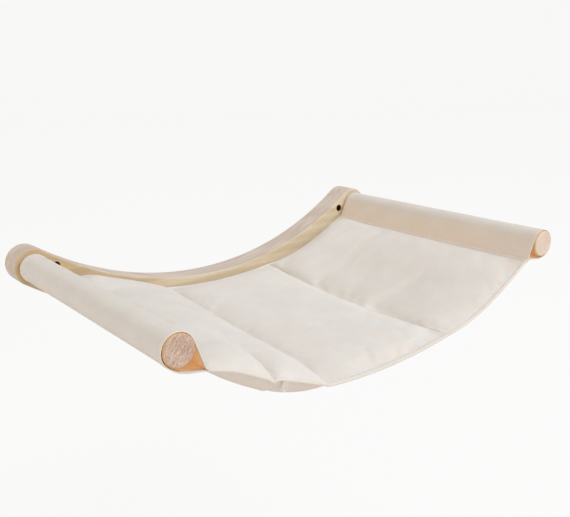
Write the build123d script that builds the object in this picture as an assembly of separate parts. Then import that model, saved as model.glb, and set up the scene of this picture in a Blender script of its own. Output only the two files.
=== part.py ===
from build123d import *
import os
from math import acos, atan2, cos, hypot, pi, sin, sqrt

# Hanging shelf bed for a pet. A bowed wooden rail is screwed to the wall, two round dowels
# stand out of it, and a padded canvas sling hangs between them on sewn sleeves.
# +X runs right along the wall, +Y into the wall and +Z up. All lengths are millimetres.
# The origin lies on the wall plane, midway between the two wall-screw holes.

# Dowels
dowel_diameter = 32
dowel_spacing = 510
dowel_reach = 350
dowel_chamfer = 1.5
dowel_above_screws = 3

# Rail
rail_depth = 36
rail_end_wall = 7
rail_bow_radius = 440
rail_edge_round = 2
socket_depth = 10
socket_clearance = 0.1

# Wall-screw holes, each inward of a dowel's axis
screw_hole_inset = 28
screw_hole_diameter = 5.5
screw_head_bore_diameter = 10
screw_head_bore_depth = 14

# Bolted joint of each dowel
bolt_diameter = 8
bolt_length = 40
bolt_head_diameter = 13
bolt_head_height = 4.4
bolt_head_round = 1.4
bolt_key_width = 5
bolt_key_depth = 2.6
washer_diameter = 18
washer_thickness = 1.6
insert_diameter = 12
insert_length = 25
insert_flange_diameter = 15
insert_flange_thickness = 1.5
bolt_bore_depth = 8
bore_clearance = 0.2
thread_clearance = 0.05

# Canvas of the sling and its sleeves
canvas_thickness = 0.8
ply_gap = 0.1
sleeve_ease = 0.3
sleeve_tip_gap = 10.5
left_tip_drop = 26
right_tip_drop = 16
seam_flange = 5
flap_setback = 1
sling_rail_gap = 2.5
sling_end_inset = 1.5
# How far round its underside each sleeve hugs the dowel before it bellies away: 1 is taut
left_hug_share = 0.65
right_hug_share = 0.8

# Padded bed: two sewn channels part it in three, and its front hangs lower than its rear
channel_spacing = 174
left_channel_front_drop = 84.5
left_channel_middle_drop = 74
left_channel_rear_drop = 63
right_channel_front_drop = 76
right_channel_middle_drop = 78.5
right_channel_rear_drop = 65
# Left, middle and right section: sag of its seams, and padding over and under them
section_sags = (0, 6.5, 8.5)
pad_crowns = (15, 11.5, 10)
pad_bellies = (17, 10, 8.5)
# How full the padding is over and under its seams near a section's sides, beside its middle
pad_shoulder_shares = {1: 0.69, -1: 0.47}
pad_shoulder_place_share = 0.12
pad_roll_depth = 50
# How full the pad is over and under its seams (second and third value) at a share of the roll
# depth in from its front or rear edge (first value)
pad_roll_shares = ((0, 0, 0), (0.05, 0.31, 0.54), (0.16, 0.54, 0.87), (0.42, 0.81, 1), (1, 1, 1))
# Places between the rolls, as shares from front to rear, where the hanging pad's curve is followed
pad_middle_shares = (0.32, 0.5, 0.68)
fill_inset = 8
fill_clearance = 0.3

# How far every cut runs past its piece
cut_overrun = 1

# Places that follow from the sizes
axis_z = dowel_above_screws
axis_x = dowel_spacing / 2
dowel_radius = dowel_diameter / 2
rail_half_height = dowel_radius + rail_end_wall
bow_centre_z = axis_z + sqrt(rail_bow_radius ** 2 - axis_x ** 2)
sling_rear_y = -(rail_depth + sling_rail_gap)
sling_front_y = -(rail_depth + dowel_reach - sling_end_inset)
sling_depth = sling_rear_y - sling_front_y


def along_y(x, z, start, diameter, length):
    """Round bar that starts at a distance from the wall and runs away from it."""
    plane = Plane(origin=(x, -start, z), x_dir=(1, 0, 0), z_dir=(0, -1, 0))
    return extrude(plane * Circle(diameter / 2), amount=length)


def bow_point(angle, radius):
    """A point of the bow on the wall plane, by its angle from straight down and its radius."""
    return (radius * sin(angle), 0, bow_centre_z - radius * cos(angle))


def rail_outline():
    """Closed outline of the rail: two concentric arcs and a round cap about each dowel's axis."""
    end_angle = atan2(axis_x, bow_centre_z - axis_z)
    upper = rail_bow_radius - rail_half_height
    lower = rail_bow_radius + rail_half_height
    cap_x = axis_x + rail_half_height * cos(end_angle)
    cap_z = axis_z + rail_half_height * sin(end_angle)
    return Wire([
        ThreePointArc(bow_point(-end_angle, upper), bow_point(0, upper), bow_point(end_angle, upper)),
        ThreePointArc(bow_point(end_angle, upper), (cap_x, 0, cap_z), bow_point(end_angle, lower)),
        ThreePointArc(bow_point(end_angle, lower), bow_point(0, lower), bow_point(-end_angle, lower)),
        ThreePointArc(bow_point(-end_angle, lower), (-cap_x, 0, cap_z), bow_point(-end_angle, upper)),
    ])


def wall_rail():
    """Bowed beam with dowel sockets in front, bolt bores behind and two wall-screw holes."""
    rail = extrude(Face(rail_outline()), amount=rail_depth, dir=(0, -1, 0))
    rail = fillet(rail.faces().filter_by(Axis.Y).edges(), rail_edge_round)
    bolt_hole = bolt_diameter + 2 * bore_clearance
    head_bore = washer_diameter + 2 * bore_clearance
    socket = dowel_diameter + 2 * socket_clearance
    for x in (-axis_x, axis_x):
        rail -= along_y(x, axis_z, rail_depth - socket_depth, socket, socket_depth + cut_overrun)
        rail -= along_y(x, axis_z, -cut_overrun, bolt_hole, rail_depth + cut_overrun)
        rail -= along_y(x, axis_z, -cut_overrun, head_bore, bolt_bore_depth + cut_overrun)
    screw_x = axis_x - screw_hole_inset
    bore_start = rail_depth - screw_head_bore_depth
    for x in (-screw_x, screw_x):
        rail -= along_y(x, 0, -cut_overrun, screw_hole_diameter, rail_depth + 2 * cut_overrun)
        rail -= along_y(x, 0, bore_start, screw_head_bore_diameter, screw_head_bore_depth + cut_overrun)
    return rail


def dowel(x):
    """Round dowel, seated in its socket, chamfered in front and bored behind for its insert."""
    start = rail_depth - socket_depth
    bar = along_y(x, axis_z, start, dowel_diameter, dowel_reach + socket_depth)
    bar = chamfer(bar.faces().sort_by(Axis.Y)[0].edges(), dowel_chamfer)
    flange_bore = insert_flange_diameter + 2 * thread_clearance
    bar -= along_y(x, axis_z, start - cut_overrun, flange_bore, cut_overrun + insert_flange_thickness)
    insert_bore = insert_diameter + 2 * thread_clearance
    return bar - along_y(x, axis_z, start, insert_bore, insert_length + cut_overrun)


def dowel_insert(x):
    """Flanged metal insert with the bolt's thread bore, let into the dowel's rear end."""
    start = rail_depth - socket_depth
    insert = along_y(x, axis_z, start, insert_diameter, insert_length)
    insert += along_y(x, axis_z, start, insert_flange_diameter, insert_flange_thickness)
    bore = bolt_diameter + 2 * thread_clearance
    return insert - along_y(x, axis_z, start - cut_overrun, bore, insert_length + 2 * cut_overrun)


def dowel_washer(x):
    """Flat washer on the floor of the rail's bolt bore."""
    start = bolt_bore_depth - washer_thickness
    washer = along_y(x, axis_z, start, washer_diameter, washer_thickness)
    hole = bolt_diameter + 2 * bore_clearance
    return washer - along_y(x, axis_z, start - cut_overrun, hole, washer_thickness + 2 * cut_overrun)


def dowel_bolt(x):
    """Bolt from the wall side through the rail into the insert, with a hexagon key recess."""
    seat = bolt_bore_depth - washer_thickness
    bolt = along_y(x, axis_z, seat - bolt_head_height, bolt_head_diameter, bolt_head_height)
    bolt = fillet(bolt.faces().sort_by(Axis.Y)[-1].edges(), bolt_head_round)
    bolt += along_y(x, axis_z, seat, bolt_diameter, bolt_length)
    key_plane = Plane(origin=(x, bolt_head_height - seat, axis_z), x_dir=(1, 0, 0), z_dir=(0, -1, 0))
    key = key_plane * RegularPolygon(bolt_key_width / 2, 6, major_radius=False)
    return bolt - extrude(key, amount=bolt_key_depth)


def channel_point(side, rear_share):
    """Place of a sewn channel (-1 left, 1 right), from the front edge at 0 to the rear edge at 1."""
    if side < 0:
        front, middle, rear = left_channel_front_drop, left_channel_middle_drop, left_channel_rear_drop
    else:
        front, middle, rear = right_channel_front_drop, right_channel_middle_drop, right_channel_rear_drop
    bow = 4 * rear_share * (1 - rear_share) * (middle - (front + rear) / 2)
    return (side * channel_spacing / 2, axis_z - front - (rear - front) * rear_share - bow)


def flange_points(side):
    """Ends of the bed's flat seam flange: beside the dowel first, then where the padding starts."""
    drop = left_tip_drop if side < 0 else right_tip_drop
    tip = (side * (axis_x - dowel_radius - sleeve_tip_gap), axis_z - drop)
    channel = channel_point(side, 1 / 2)
    run, fall = channel[0] - tip[0], channel[1] - tip[1]
    share = seam_flange / hypot(run, fall)
    return tip, (tip[0] + run * share, tip[1] + fall * share)


def bed_stations(side):
    """Rear share of each station, from the front edge to the rear edge, and how full the padding
    is there over (1) or under (-1) the seams."""
    front = [(share * pad_roll_depth / sling_depth, over if side > 0 else under)
             for share, over, under in pad_roll_shares]
    middle = [(share, 1) for share in pad_middle_shares]
    return [*front, *middle, *[(1 - share, full) for share, full in reversed(front)]]


def bed_knots(rear_share):
    """Points of the bed's middle line: left flange, the two channels and right flange."""
    left_tip, left_end = flange_points(-1)
    right_tip, right_end = flange_points(1)
    channels = [channel_point(-1, rear_share), channel_point(1, rear_share)]
    return [left_tip, left_end, *channels, right_end, right_tip]


def section_curve(section, knots, side, full, lift):
    """One section's face over (1) or under (-1) the padding, raised by a lift, from seam to seam.

    It shows how its seams sag between the channels and how far its padding swells there, at a
    fullness.
    """
    start, end = knots[section + 1:section + 3]
    run, rise = end[0] - start[0], end[1] - start[1]
    swell = side * full * (pad_crowns if side > 0 else pad_bellies)[section]
    near, near_full = pad_shoulder_place_share, pad_shoulder_shares[side]
    points = []
    for place, fullness in ((0, 0), (near, near_full), (1 / 2, 1), (1 - near, near_full), (1, 0)):
        rise_off = swell * fullness - section_sags[section] * 4 * place * (1 - place)
        off_share = rise_off / hypot(run, rise)
        points.append((start[0] + run * place - rise * off_share,
                       start[1] + rise * place + run * off_share + lift))
    return points


def spline_at(y, points):
    """Spline through points of a cross-section, at its distance along the dowels."""
    return Spline(*[(x, y, z) for x, z in points])


def bed_face(y, knots, side, full, lift):
    """Edges of one face of the bed at a station: flat flanges and a curve for each section."""
    corners = [(x, y, z + lift) for x, z in knots]
    curves = [spline_at(y, section_curve(section, knots, side, full, lift))
              for section in range(len(section_sags))]
    return [Line(corners[0], corners[1]), *curves, Line(corners[-2], corners[-1])]


def bed_panel(side):
    """Canvas panel over (1) or under (-1) the padding, lofted from the front to the rear edge."""
    wires = []
    for share, full in bed_stations(side):
        y, knots = sling_front_y + share * sling_depth, bed_knots(share)
        inner = bed_face(y, knots, side, full, side * ply_gap / 2)
        outer = bed_face(y, knots, side, full, side * (ply_gap / 2 + canvas_thickness))
        ends = [Line(inner[0] @ 0, outer[0] @ 0), Line(inner[-1] @ 1, outer[-1] @ 1)]
        wires.append(Wire([*inner, *outer, *ends]))
    return Solid.make_loft(wires, ruled=True)


def pad_filling(section):
    """Wadding of one section (0 left, 1 middle, 2 right): a lens that stays clear of the canvas."""
    wires = []
    for (share, over), (_, under) in list(zip(bed_stations(1), bed_stations(-1)))[1:-1]:
        y, knots = sling_front_y + share * sling_depth, bed_knots(share)
        start, end = knots[section + 1:section + 3]
        inset_share = fill_inset / hypot(end[0] - start[0], end[1] - start[1])
        top = spline_at(y, section_curve(section, knots, 1, over, -fill_clearance))
        bottom = spline_at(y, section_curve(section, knots, -1, under, fill_clearance))
        top, bottom = [curve.trim(inset_share, 1 - inset_share) for curve in (top, bottom)]
        wires.append(Wire([top, Line(top @ 1, bottom @ 1), bottom, Line(bottom @ 0, top @ 0)]))
    return Solid.make_loft(wires, ruled=True)


def sleeve_face_edges(side, outward):
    """One face of a sleeve's strip, a distance outward of its inner face.

    Worked out beside the dowel's axis, with u towards the bed and v up. The upper layer leaves the
    bed's flange at a corner and runs straight to the dowel. The strip then hugs the dowel over the
    top and round its far side, and its lower layer bellies back to the flange in one slack arc.
    """
    tip, end = [(axis_x - abs(x), z - axis_z) for x, z in flange_points(side)]
    length = hypot(end[0] - tip[0], end[1] - tip[1])
    along = ((end[0] - tip[0]) / length, (end[1] - tip[1]) / length)
    up = (-along[1], along[0])
    apart = ply_gap / 2 + canvas_thickness + ply_gap
    radius = dowel_radius + sleeve_ease

    def flap_point(run, lift):
        return (tip[0] + along[0] * run + up[0] * lift, tip[1] + along[1] * run + up[1] * lift)

    def placed(point):
        return (side * (axis_x - point[0]), sling_rear_y, axis_z + point[1])

    def round_point(centre, reach, angle):
        return (centre[0] + reach * cos(angle), centre[1] + reach * sin(angle))

    # Straight upper layer, tangent to the dowel's easing circle at an angle
    upper = flap_point(0, apart)
    upper_angle = atan2(upper[1], upper[0]) + acos(radius / hypot(*upper))
    touch = (cos(upper_angle), sin(upper_angle))
    lift = apart + outward
    base = flap_point(0, lift)
    run = (radius + outward - base[0] * touch[0] - base[1] * touch[1])
    run /= along[0] * touch[0] + along[1] * touch[1]
    corner = flap_point(run, lift)

    # Slack lower layer, an arc that leaves the easing circle at an angle
    lower = flap_point(0, -apart)
    taut_angle = 2 * pi + atan2(lower[1], lower[0]) - acos(radius / hypot(*lower))
    hug_share = left_hug_share if side < 0 else right_hug_share
    leave_angle = pi + (taut_angle - pi) * hug_share
    leave = (cos(leave_angle), sin(leave_angle))
    across = lower[0] * leave[0] + lower[1] * leave[1]
    slack = (lower[0] ** 2 + lower[1] ** 2 - 2 * radius * across + radius ** 2) / (2 * (radius - across))
    centre = ((radius - slack) * leave[0], (radius - slack) * leave[1])
    base = flap_point(0, -lift)
    offset = (base[0] - centre[0], base[1] - centre[1])
    back = offset[0] * along[0] + offset[1] * along[1]
    reach = slack + outward
    landing = flap_point(sqrt(back ** 2 - offset[0] ** 2 - offset[1] ** 2 + reach ** 2) - back, -lift)
    landing_angle = 2 * pi + atan2(landing[1] - centre[1], landing[0] - centre[0])

    hug = radius + outward
    hug_start, hug_end = round_point((0, 0), hug, upper_angle), round_point((0, 0), hug, leave_angle)
    hug_middle = round_point((0, 0), hug, (upper_angle + leave_angle) / 2)
    slack_middle = round_point(centre, reach, (leave_angle + landing_angle) / 2)
    flap = length - flap_setback
    return [
        Line(placed(flap_point(flap, lift)), placed(corner)),
        Line(placed(corner), placed(hug_start)),
        ThreePointArc(placed(hug_start), placed(hug_middle), placed(hug_end)),
        ThreePointArc(placed(hug_end), placed(slack_middle), placed(landing)),
        Line(placed(landing), placed(flap_point(flap, -lift))),
    ]


def sleeve(side):
    """Canvas strip round a dowel, whose two ends lie over and under the bed's seam flange."""
    inner, outer = sleeve_face_edges(side, 0), sleeve_face_edges(side, canvas_thickness)
    ends = [Line(inner[0] @ 0, outer[0] @ 0), Line(inner[-1] @ 1, outer[-1] @ 1)]
    return extrude(Face(Wire([*inner, *outer, *ends])), amount=sling_depth, dir=(0, -1, 0))


def pair(make):
    """The same piece at the left and the right dowel, as separate solids."""
    return Compound(children=[make(-axis_x), make(axis_x)])


nodes = {
    "wall_rail": wall_rail(),
    "left_dowel": dowel(-axis_x),
    "right_dowel": dowel(axis_x),
    "dowel_bolts": pair(dowel_bolt),
    "dowel_washers": pair(dowel_washer),
    "dowel_inserts": pair(dowel_insert),
    "left_sleeve": sleeve(-1),
    "right_sleeve": sleeve(1),
    "bed_top_panel": bed_panel(1),
    "bed_bottom_panel": bed_panel(-1),
    "left_filling": pad_filling(0),
    "middle_filling": pad_filling(1),
    "right_filling": pad_filling(2),
}

os.makedirs("parts", exist_ok=True)
for name, solid in nodes.items():
    export_step(solid, f"parts/{name}.step")
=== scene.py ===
import math

import bpy
import numpy as np
from mathutils import Matrix


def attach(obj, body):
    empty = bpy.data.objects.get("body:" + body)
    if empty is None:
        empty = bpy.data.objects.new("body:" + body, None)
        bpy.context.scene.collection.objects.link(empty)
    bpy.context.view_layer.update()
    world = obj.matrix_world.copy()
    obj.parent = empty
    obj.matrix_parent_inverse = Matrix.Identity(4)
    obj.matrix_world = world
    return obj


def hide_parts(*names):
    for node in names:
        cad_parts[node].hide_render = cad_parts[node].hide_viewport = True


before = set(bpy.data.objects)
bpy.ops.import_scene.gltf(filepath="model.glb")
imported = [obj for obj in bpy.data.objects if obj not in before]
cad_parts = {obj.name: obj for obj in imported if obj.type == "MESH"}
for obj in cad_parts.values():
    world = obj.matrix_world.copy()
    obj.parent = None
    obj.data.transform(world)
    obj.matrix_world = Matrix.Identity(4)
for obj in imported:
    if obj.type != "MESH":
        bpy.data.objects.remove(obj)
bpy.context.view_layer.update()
scene = bpy.context.scene

# Sizes shared with the CAD, in metres
AXIS_X = 0.255
AXIS_Z = 0.003
DOWEL_RADIUS = 0.016
DOWEL_FRONT_Y = -0.386
RAIL_FRONT_Y = -0.036
SCREW_X = 0.227
SCREW_BORE = 0.005
FRONT_Y = -0.3845
REAR_Y = -0.0385
DEPTH = REAR_Y - FRONT_Y
CHANNEL_X = 0.087
TIP_X = 0.2285
TIP_Z = {-1: -0.023, 1: -0.013}
CHANNEL_DROPS = {-1: (0.0845, 0.0745, 0.063), 1: (0.0762, 0.0785, 0.065)}
SEAM_FLANGE = 0.0048
CANVAS = 0.0008

# Bed, by left, middle and right section
SECTION_WIDTHS = (0.138, 0.174, 0.138)
SECTION_SAGS = (0, 0.0065, 0.0085)
SAG_SKEWS = (0, 0, 0.35)
CROWNS = (0.0145, 0.01, 0.0085)
BELLIES = (0.0145, 0.0085, 0.0075)
SHOULDERS = (0.45, 0.5, 0.5)
REAR_LIFTS = (0.001, 0.002, 0.0068)
TOP_ROLLS, UNDER_ROLLS = (0.05, 0.05, 0.05), (0.017, 0.036, 0.026)
# Where the rear's lift and the bulge beside the left sleeve set in and are full
LIFT_Y, BULGE_Y = (-0.15, -0.06), (-0.13, -0.06)
REAR_BULGE, BULGE_SHARE = 0.014, 0.32
# Left underside: how much fuller it is by the channel, and its arch's falling power
BELLY_LEAN, LEAN_SHARES = 0.22, (0.46, 0.69)
BELLY_POWER, POWER_FALL, POWER_SHARES = 0.8, 0.3, (0.55, 0.88)
# Right section: how much shorter its rolls are at the channel, up to a share of its chord
ROLL_CUT, ROLL_CUT_SHARE = 0.65, 0.25
# Low waves of both faces: height, cell sizes and seed
WAVES = ((0.0006, 0.03, 0.045, 51), (0.00025, 0.012, 0.018, 52))
# Fold in the left section, at a share of its chord on the front seam
FOLD_SHARE = 0.512
FOLD_SLANT = -0.06
# Width of its left and right flank: at the front edge, and growth per metre behind it
FOLD_WIDTHS = ((0.0026, 0.075), (0.0042, 0.2))
# Depth share and reach of its long valley and of the nip in the edge, and the flanks' power
FOLD_LONG, FOLD_NIP, FOLD_POWER = (0.9, 0.08), (0.08, 0.02), 1.3
# Soft creases in the top: start and end in x and y, depth, and half widths on both sides
CREASES = ((0.088, -0.2485, 0.197, -0.285, 0.0041, 0.008, 0.026),
           (0.176, -0.083, 0.21, -0.096, 0.0013, 0.0028, 0.0045),
           (0.15, -0.163, 0.188, -0.184, 0.0013, 0.004, 0.008),
           (-0.0066, -0.345, -0.0205, -0.376, 0.0015, 0.003, 0.005),
           (0.056, -0.337, 0.0385, -0.372, 0.001, 0.005, 0.004))
# Tape loop: where its top lies
TAB_PLACE = (-0.1426, -0.3864, -0.0591)
# Turned seam along the front and rear edges: distance in from the edge, and half thickness
EDGE_ROLL = ((0, 0.0009), (0.0006, 0.0015), (0.0018, 0.00155), (0.0026, 0.0012), (0.0034, 0.0004),
             (0.0042, 0.0004))
# Which of those distances the stitches run at
STITCH_COLUMN = 4
# How much wider that seam is midway along the middle section, and how far in that shows
SEAM_SPREAD, SPREAD_REACH = 0.004, 0.024
# Gathers beside a seam: height, reach, and their share and cell sizes
PUCKER_HEIGHT, PUCKER_REACH = 0.0009, 0.013
PUCKER_CELLS = ((1, 0.0085, 0.03), (0.6, 0.021, 0.05))
# Mesh steps: fine distances in from a seam, an edge and a sleeve's end, and the even steps
SEAM_STEPS = (0, 0.0016, 0.0042, 0.0078)
EDGE_STEPS = (0.0054, 0.0072, 0.0098, 0.0133)
SLEEVE_STEPS = (0, 0.0008, 0.0045, 0.0072, 0.0082, 0.011)
BED_STEP, SLEEVE_STEP = 0.0043, 0.0062
# Extra columns at the fold: how far to its left they centre and how far they reach, as shares
FOLD_COLUMNS = ((0.02, 0.11), (0, 0.045))
# Rows of points on a flat seam flange, as shares of its width
FLANGE_SHARES = (0.7, 0.5, 0.2)
FLANGE_ROWS = len(FLANGE_SHARES)

# Simulation of the bed: limit of a move, steps, and settings
MOVE_CAP, SIMULATED_STEPS = 0.004, 20
CLOTH_SETTINGS = {"quality": 6, "mass": 0.3, "tension_stiffness": 22, "compression_stiffness": 22,
                  "shear_stiffness": 6, "bending_stiffness": 0.9, "air_damping": 3, "pin_stiffness": 1,
                  "use_pressure": True, "uniform_pressure_force": 2.4, "shrink_min": -0.012,
                  "shrink_max": -0.02, "vertex_group_shrink": "slack", "vertex_group_mass": "sewn"}
# In x, where its cloth is taut and where loose, and the pinned valley of the fold
LOOSE_X = (-0.06, -0.1)
VALLEY_HALF, VALLEY_LENGTH = 0.6, 0.075

# Sleeves: middle of the circle off the dowel's axis, and its ease round the dowel
SLEEVE_CENTRE, SLEEVE_EASE = (-0.00015, -0.0002), 0.00035
# Flaps on the bed: gap, overlap, and the bends that lift them off it and lay them down
FLAP_GAP, FLAP_OVERLAP = 0.0001, 0.0006
FLAP_LIFT, FLAP_DIP, FLAP_BEND = 0.0005, 0.0009, 0.0018
# How far behind its front end a sleeve hugs its dowel as at the rear
SETTLED_DEPTH = 0.13
# Waves of the free cloth: share, cell sizes and seed, least height and what a free span adds
SLEEVE_WAVES = ((0.6, 0.03, 0.05, 0), (0.25, 0.012, 0.022, 1))
WAVE_HEIGHT, SPAN_HEIGHT = 0.00035, 0.0008
# Hem: where it thins out, and its added thickness and outward shift, in canvas thicknesses
HEM_ENDS, HEM_PLIES, HEM_SHIFT = (0.0083, 0.0071), 0.6, 0.25
# End of the upper free span, by length along the strip from its upper flap
UPPER_END = 0.036

# Camera of the photograph
CAMERA_YAW, CAMERA_PITCH, CAMERA_ROLL = 0.6369258, 0.2748292, -0.0372455
CAMERA_PLACE = (-0.554894, -0.947973, 0.259676)

# Pitch of the canvas threads and of the tape's, and what a surface group gives
THREAD_PITCH, TAPE_PITCH = 0.0011, 0.0006
SURFACE = {"Color": "Color", "Height": "Float", "Roughness": "Float"}

TOP, UNDER = 1, -1


# Numbers over the surface

def smooth(edge_a, edge_b, value):
    """Smoothstep: 3s^2 - 2s^3 of the clamped share s of value between two edges."""
    s = np.clip((value - edge_a) / (edge_b - edge_a), 0, 1)
    return s * s * (3 - 2 * s)


def soft_noise(u, v, cell_u, cell_v, seed):
    """Smooth random field from -1 to 1: heights on a lattice, blended by smoothstep."""
    a, b = u / cell_u, v / cell_v
    i, j = np.floor(a).astype(int), np.floor(b).astype(int)
    to_next, to_far = smooth(0, 1, a - i), smooth(0, 1, b - j)
    i, j = i - i.min(), j - j.min()
    lattice = np.random.default_rng(seed).uniform(-1, 1, (i.max() + 2, j.max() + 2))
    near, far = [lattice[i, k] * (1 - to_next) + lattice[i + 1, k] * to_next for k in (j, j + 1)]
    return near * (1 - to_far) + far * to_far


def unit(vectors):
    """Vectors scaled to length one."""
    return vectors / np.linalg.norm(vectors, axis=-1, keepdims=True)


def graded(start, end, fine, pitch):
    """Places from start to end: at fine distances in from both ends, and even steps between."""
    fine = np.array(fine)
    inner = np.linspace(start + fine[-1], end - fine[-1], 1 + round((end - start - 2 * fine[-1]) / pitch))
    return np.concatenate([start + fine[:-1], inner, end - fine[-2::-1]])


# Meshes

def grid_faces(rows, columns):
    """Quads of a grid of vertices that are numbered row by row."""
    index = np.arange(rows * columns).reshape(rows, columns)
    quads = np.stack([index[:-1, :-1], index[1:, :-1], index[1:, 1:], index[:-1, 1:]], axis=-1)
    return quads.reshape(-1, 4)


def rim_faces(rows, columns):
    """Quads that join the rims of two stacked grids into a closed surface."""
    index = np.arange(rows * columns).reshape(rows, columns)
    upper = np.concatenate([index[:, 0], index[-1, 1:], index[-2::-1, -1], index[0, -2:0:-1]])
    after = np.roll(upper, -1)
    return np.stack([after, upper, upper + index.size, after + index.size], axis=-1)


def new_piece(name, points, faces, material, uv=None):
    """Mesh object at the origin from points, faces and, if given, each point's place on the cloth."""
    mesh = bpy.data.meshes.new(name)
    mesh.from_pydata(points.reshape(-1, 3).tolist(), [], faces.tolist())
    mesh.polygons.foreach_set("use_smooth", np.ones(len(mesh.polygons), bool))
    if uv is not None:
        corners = np.empty(len(mesh.loops), np.int32)
        mesh.loops.foreach_get("vertex_index", corners)
        layer = mesh.uv_layers.new(name="cloth")
        layer.data.foreach_set("uv", uv.reshape(-1, 2)[corners].astype(np.float32).ravel())
    mesh.materials.append(material)
    mesh.update()
    piece = bpy.data.objects.new(name, mesh)
    scene.collection.objects.link(piece)
    return piece


def new_shell(name, faces, places, material, turned=False):
    """Closed piece between two faces: grids of points, each with its places on the cloth."""
    rows, columns = faces[0].shape[:2]
    upper = grid_faces(rows, columns)
    lower = upper[:, ::-1] + rows * columns
    quads = np.concatenate([upper, lower, rim_faces(rows, columns)])
    quads = quads[:, ::-1] if turned else quads
    return new_piece(name, np.stack(faces), quads, material, np.stack(places))


def subdivide(piece):
    """Rounds the piece with a Subdivision Surface of one level."""
    modifier = piece.modifiers.new("round", "SUBSURF")
    modifier.levels = modifier.render_levels = 1


def settled(piece, count):
    """Where a piece's first vertices lie once its modifiers have rounded it."""
    graph = bpy.context.evaluated_depsgraph_get()
    mesh = piece.evaluated_get(graph).data
    points = np.empty(len(mesh.vertices) * 3, np.float32)
    mesh.vertices.foreach_get("co", points)
    return points.reshape(-1, 3)[:count].astype(float)


# Padded bed

def channel_height(side, share):
    """Height of a sewn channel: a parabola through its front, middle and rear drops."""
    front, middle, rear = CHANNEL_DROPS[side]
    bow = 4 * share * (1 - share) * (middle - (front + rear) / 2)
    return AXIS_Z - front - (rear - front) * share - bow


def flange_end(side):
    """Where the flat seam flange beside a sleeve ends: its width from the tip to the channel."""
    run = side * CHANNEL_X - side * TIP_X
    fall = channel_height(side, 0.5) - TIP_Z[side]
    reach = SEAM_FLANGE / math.hypot(run, fall)
    return side * TIP_X + run * reach, TIP_Z[side] + fall * reach


def bed_columns():
    """Places across the bed: section number and share of its chord, finest by seams and fold."""
    sections, places = [], []
    for section, width in enumerate(SECTION_WIDTHS):
        x = graded(0, width, SEAM_STEPS, BED_STEP) / width
        for shift, reach in FOLD_COLUMNS if section == 0 else ():
            between = (x[1:] + x[:-1]) / 2
            x = np.sort(np.concatenate([x, between[np.abs(between - FOLD_SHARE + shift) < reach]]))
        x = x if section == 2 else x[:-1]
        sections.append(np.full(len(x), section))
        places.append(x)
    return np.concatenate(sections), np.concatenate(places)


def by_section(values, section):
    """Every column's value, from one for each section."""
    return np.array(values)[section][:, None]


def chord_points(section, place, share):
    """Places on the straight chord between a section's two seams, and the chord's normal."""
    seams = [flange_end(-1), (-CHANNEL_X, channel_height(-1, share)),
             (CHANNEL_X, channel_height(1, share)), flange_end(1)]
    seams_x = np.array([x for x, z in seams])[:, None]
    seams_z = np.stack([z * np.ones(share.shape) for x, z in seams])
    x0, x1 = seams_x[section], seams_x[section + 1]
    z0, z1 = seams_z[section], seams_z[section + 1]
    run, fall = x1 - x0, z1 - z0
    length = np.hypot(run, fall)
    return x0 + run * place[:, None], z0 + fall * place[:, None], -fall / length, run / length


def roll(distance, depth):
    """How full the pad is a distance in from its front or rear seam: a quarter of an oval."""
    share = np.clip(distance / depth, 0, 1)
    return np.sqrt(1 - (1 - share) ** 2)


def fold_offset(x, inward):
    """Distance across from the fold's valley, in flank widths: steep on its left, gentle right."""
    left_end = flange_end(-1)[0]
    valley = left_end + (-CHANNEL_X - left_end) * FOLD_SHARE + FOLD_SLANT * inward
    left_width, right_width = [width + growth * inward for width, growth in FOLD_WIDTHS]
    return (x - valley) / np.where(x < valley, left_width, right_width)


def fold(x, y):
    """Depth share of the fold in the left section: deep at the front edge, gone 150 mm behind.

    In the valley, a bell curve of the long reach plus the nip's exponential fall. Beside it,
    that over one plus the offset squared, to the flanks' power.
    """
    inward = y - FRONT_Y
    deep = FOLD_LONG[0] * np.exp(-(inward / FOLD_LONG[1]) ** 2)
    deep += FOLD_NIP[0] * np.exp(-inward / FOLD_NIP[1])
    return deep / (1 + fold_offset(x, inward) ** 2) ** FOLD_POWER


def front_seam_rise(section, place, x, y):
    """Height of the left section's front seam off its chord: over the puff, down at the fold.

    Half a sine wave, less the dip over one plus the stretched offset squared, both fading with
    an exponential behind the edge.
    """
    puff_height, puff_share, dip, reach = 0.0019, 0.36, 0.0038, 0.022
    left_stretch, right_stretch = 0.36, 2
    offset = fold_offset(x, 0)
    over = puff_height * np.sin(math.pi * np.clip(place / puff_share, 0, 1))[:, None]
    under = dip / (1 + (offset * np.where(offset < 0, left_stretch, right_stretch)) ** 2)
    return np.where(section[:, None] == 0, (over - under) * np.exp(-(y - FRONT_Y) / reach), 0)


def puckers(along, away, seed):
    """Small gathers beside a seam: soft noise that dies out away from it."""
    near = sum(share * soft_noise(along, away, *cells, seed + step)
               for step, (share, *cells) in enumerate(PUCKER_CELLS))
    return PUCKER_HEIGHT * near * np.exp(-away / PUCKER_REACH) * smooth(0, 0.003, away)


def crease_depth(x, y):
    """Depth of the soft creases: valleys with a bell-shaped section along straight lines."""
    depth = np.zeros(x.shape)
    for x0, y0, x1, y1, deep, near, far in CREASES:
        run_x, run_y = x1 - x0, y1 - y0
        length = math.hypot(run_x, run_y)
        along = ((x - x0) * run_x + (y - y0) * run_y) / length ** 2
        off = ((y - y0) * run_x - (x - x0) * run_y) / length
        ends = smooth(-0.08, 0.1, along) * smooth(1.05, 0.4, along)
        depth += deep * ends * np.exp(-(off / np.where(off > 0, near, far)) ** 2)
    return depth


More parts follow.
